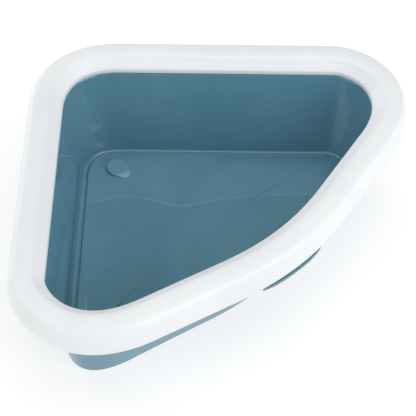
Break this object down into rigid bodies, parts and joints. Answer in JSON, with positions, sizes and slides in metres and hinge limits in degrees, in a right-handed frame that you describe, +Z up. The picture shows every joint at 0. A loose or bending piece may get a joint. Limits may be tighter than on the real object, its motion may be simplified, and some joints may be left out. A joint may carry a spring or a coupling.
{
  "type": "corner litter tray",
  "caption": "Open corner litter tray for a cat: a deep pan with two straight sides and a bowed front, under a broad rounded rim that clips on.",
  "frame": {"origin": "middle of the footprint's box, on the floor under the foot ring", "axes": "+Z up; the right-angled corner is at the back (+Y), the bowed side is the front (-Y), and X = 0 is the plane of symmetry"},
  "size_m": [0.5492, 0.4082, 0.1446],
  "materials": {
    "pan_plastic": "glossy blue-green polypropylene",
    "rim_plastic": "white polypropylene with a soft sheen"
  },
  "bodies": {
    "pan": {"pan": "pan_plastic"},
    "rim": {"rim": "rim_plastic"}
  },
  "joints": [
    {"name": "rim_lift", "type": "slide", "parent": "pan", "child": "rim", "axis": [0, 0, 1], "range_m": [0, 0.06]}
  ]
}
